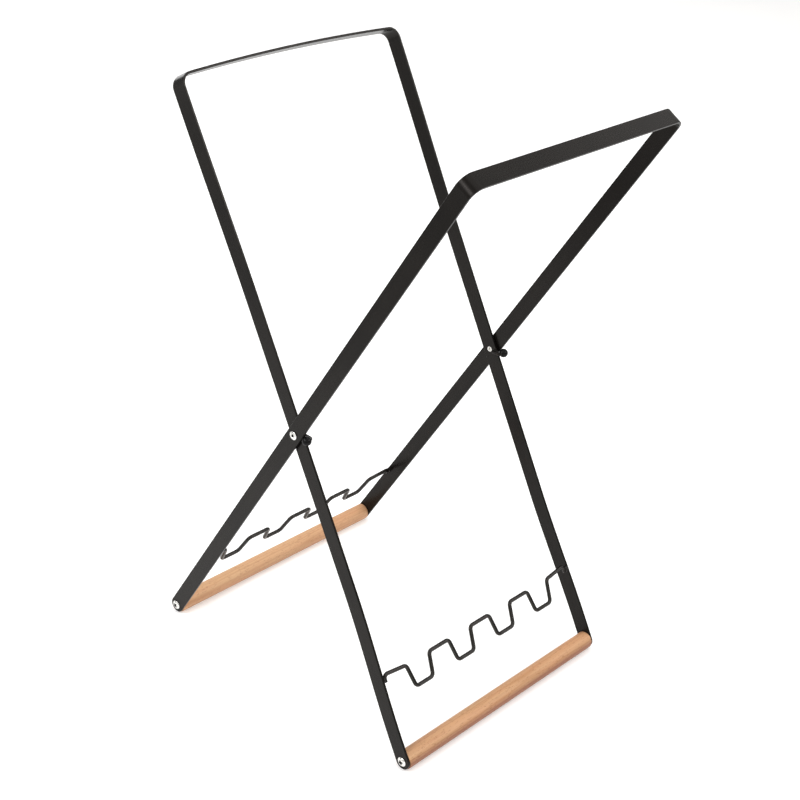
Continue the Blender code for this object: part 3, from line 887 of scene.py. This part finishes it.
def make_pivot_rings(end, side, plate, plastic):
    """Clinch nut in the inner leg, and the washer between the legs."""
    half = INNER_PIVOT_WIDTH / 2
    edge = 0.25 * MM
    low, high = -NUT_PROUD, BAR_THICK - 0.05 * MM
    nut_profile = [
        (NUT_BORE + edge, low),
        (NUT_RADIUS - edge * 1.5, low),
        (NUT_RADIUS - edge * 0.4, low + edge * 0.4),
        (NUT_RADIUS, low + edge * 1.5),
        (NUT_RADIUS, high),
        (NUT_BORE, high),
        (NUT_BORE, low + edge),
    ]
    matrix = facing_out(-LEAN, side, half - BAR_THICK, 0)
    nut = add_piece(f"pivot_clinch_nut_{end}", turned(nut_profile, 64), matrix, plate, 50)
    even_normals(nut)
    place_piece(nut, "inner_frame_body", "nickel_plate", f"pivot_nut_{end}")
    low, high = 0.05 * MM, SEAT_GAP + WASHER_THICK
    inside = SHOULDER_RADIUS + 0.2 * MM
    edge = 0.12 * MM
    washer_profile = [
        (inside, low + edge),
        (inside + edge, low),
        (WASHER_RADIUS - edge, low),
        (WASHER_RADIUS, low + edge),
        (WASHER_RADIUS, high - edge),
        (WASHER_RADIUS - edge, high),
        (inside + edge, high),
        (inside, high - edge),
    ]
    washer = add_piece(
        f"pivot_spacer_{end}", turned(washer_profile, 64), facing_out(-LEAN, side, half, 0), plastic, 50
    )
    place_piece(washer, "inner_frame_body", "nylon", f"pivot_washer_{end}")


def make_stop(end, side, coat, plastic):
    """Bent pin welded to the inner leg, with the glossy ball that the outer leg rests on."""
    matrix = frame_matrix(-LEAN)
    inner_face = INNER_PIVOT_WIDTH / 2 - BAR_THICK
    along = Vector((math.cos(LEAN), 0, -math.sin(LEAN)))
    out = Vector((0, side, 0))
    pin_depth = inner_face - SEAT_GAP - PIN_RADIUS
    ball_depth = OUTER_WIDTH / 2 - BAR_THICK + BALL_OVERLAP
    corners = [
        along * PIN_START + out * pin_depth,
        along * PIN_REACH + out * pin_depth,
        along * PIN_REACH + out * (ball_depth - PIN_IN_BALL),
    ]
    shape = tube(rounded(corners, PIN_BEND, 12), PIN_RADIUS, 28, along.cross(out), END_ROUNDING)
    pin = add_piece(f"stop_rod_{end}", shape, matrix, coat)
    place_piece(pin, "inner_frame_body", "black_powder_coat", f"stop_pin_{end}")

    weld_length = BAR_WIDTH / 2 / math.cos(LEAN) - PIN_START + 2.2 * MM
    axes = Matrix((along.cross(out), -out, along)).transposed().to_4x4()
    place = Matrix.Translation(out * inner_face + along * (PIN_START + weld_length / 2))
    if axes.determinant() < 0:
        axes = axes @ Matrix.Diagonal((-1, 1, 1, 1))
    bead = weld_shape(PIN_RADIUS, SEAT_GAP, weld_length, PIN_WELD_WIDTH)
    weld = add_piece(f"stop_weld_{end}", bead, matrix @ place @ axes, coat, 60)
    place_piece(weld, "inner_frame_body", "black_powder_coat")

    hole = PIN_RADIUS + 0.1 * MM
    mouth = math.asin((hole + 0.35 * MM) / BALL_RADIUS)
    profile = [(0, -2 * MM), (hole, -2 * MM), (hole, -BALL_RADIUS * math.cos(mouth) + 0.3 * MM)]
    steps = 40
    for k in range(steps):
        angle = (math.pi - mouth) * (1 - k / steps)
        profile.append((BALL_RADIUS * math.sin(angle), BALL_RADIUS * math.cos(angle)))
    profile.append((0, BALL_RADIUS))
    turn = Matrix.Rotation(-side * math.pi / 2, 4, "X")
    ball_place = matrix @ Matrix.Translation(along * PIN_REACH + out * ball_depth) @ turn
    ball = add_piece(f"stop_knob_{end}", turned(profile, 64), ball_place, plastic, 50)
    place_piece(ball, "inner_frame_body", "gloss_black_plastic", f"stop_ball_{end}")


# ------------------------------------------------------------------- studio


def make_floor():
    shape = bmesh.new()
    bmesh.ops.create_circle(shape, cap_ends=True, radius=FLOOR_RADIUS, segments=96)
    floor = add_piece("studio_floor", shape, Matrix.Translation((0, 0, 0)), floor_finish())


def make_light(name, size, power, location, target):
    light = bpy.data.lights.new(name, "AREA")
    light.shape = "RECTANGLE"
    light.size, light.size_y = size
    light.energy = power
    lamp = bpy.data.objects.new(name, light)
    lamp.location = location
    lamp.rotation_euler = (Vector(target) - Vector(location)).to_track_quat("-Z", "Y").to_euler()
    bpy.context.scene.collection.objects.link(lamp)


def make_world():
    """Soft surround, brightest a third of the way up on the +X side, with a pale horizon."""
    world = bpy.data.worlds.new("studio")
    world.use_nodes = True
    tree = world.node_tree
    direction = node(tree, "ShaderNodeTexCoord").outputs["Generated"]
    parts = node(tree, "ShaderNodeSeparateXYZ", {"Vector": direction}).outputs
    dark, soft, bright = (0.10, 0.10, 0.10), (0.45, 0.44, 0.43), (0.90, 0.885, 0.865)
    stops = ((0.26, dark), (0.46, bright), (0.585, bright), (0.64, soft), (0.85, (0.28, 0.28, 0.27)))
    colour = ramp(tree, parts["Z"], stops)
    across = spread(tree, parts["X"], 0.0, 1.0, -0.35, 0.05)
    panel = ramp(tree, across, ((0.0, (0.3, 0.3, 0.3)), (1.0, (1, 1, 1))))
    colour = multiplied(tree, colour, panel)
    horizon = ramp(tree, parts["Z"], ((0.04, (0.42, 0.42, 0.42)), (0.12, (0, 0, 0))))
    colour = blend_colours(tree, 1.0, colour, horizon, "LIGHTEN")
    background = tree.nodes["Background"]
    tree.links.new(colour, background.inputs["Color"])
    background.inputs["Strength"].default_value = 1.95
    bpy.context.scene.world = world


def make_camera():
    """Camera at its place from the fold axis, turned about the direction it looks along."""
    azimuth, elevation, roll = map(math.radians, (CAMERA_AZIMUTH, CAMERA_ELEVATION, CAMERA_ROLL))
    right = Vector((math.cos(azimuth), math.sin(azimuth), 0))
    back = Vector(
        (
            math.sin(azimuth) * math.cos(elevation),
            -math.cos(azimuth) * math.cos(elevation),
            math.sin(elevation),
        )
    )
    up = back.cross(right)
    rolled_right = right * math.cos(roll) + up * math.sin(roll)
    rolled_up = up * math.cos(roll) - right * math.sin(roll)
    data = bpy.data.cameras.new("camera")
    data.lens = CAMERA_LENS
    data.sensor_width = CAMERA_SENSOR
    data.clip_start, data.clip_end = 0.05, 60
    camera = bpy.data.objects.new("camera", data)
    turn = Matrix((rolled_right, rolled_up, back)).transposed().to_4x4()
    camera.matrix_world = Matrix.Translation(PIVOT + CAMERA_FROM_PIVOT) @ turn
    bpy.context.scene.collection.objects.link(camera)
    bpy.context.scene.camera = camera


def build():
    coat = powder_coat("black_powder_coat", 0.27, 0.147)
    wire_coat = powder_coat("black_powder_coat_on_wire", 0.16, 0.36)
    plate = nickel("nickel_plate", 1.0, 0.0)
    # Painted shade: a near-black copy of the nickel for the driver recesses and hexagon sockets.
    recess_shade = nickel("nickel_recess_painted_shade", 0.07, 0.3)
    plastic = gloss_plastic()
    spacer = nylon()
    for frame_, pivot_hole in ((OUTER, SHOULDER_RADIUS + 0.2 * MM), (INNER, NUT_RADIUS + 0.1 * MM)):
        make_bar(frame_, coat, pivot_hole)
        # Each dowel's painted shade falls on the side turned from the light, in its own axes.
        shade_side = Matrix.Rotation(-frame_.lean, 3, "Y") @ PAINTED_SHADE_SIDE
        make_dowel(frame_, beech(f"oiled_beech_{frame_.label}", frame_.tone, shade_side))
        make_wire(frame_, wire_coat)
        for end, side in ENDS:
            make_dowel_screw(frame_, end, side, plate, recess_shade)
    for end, side in ENDS:
        make_pivot_bolt(end, side, plate, recess_shade)
        make_pivot_rings(end, side, plate, spacer)
        make_stop(end, side, coat, plastic)
    make_floor()
    make_world()
    for light in LIGHTS:
        make_light(*light)
    bpy.context.scene.view_settings.view_transform = "Standard"
    make_camera()


build()
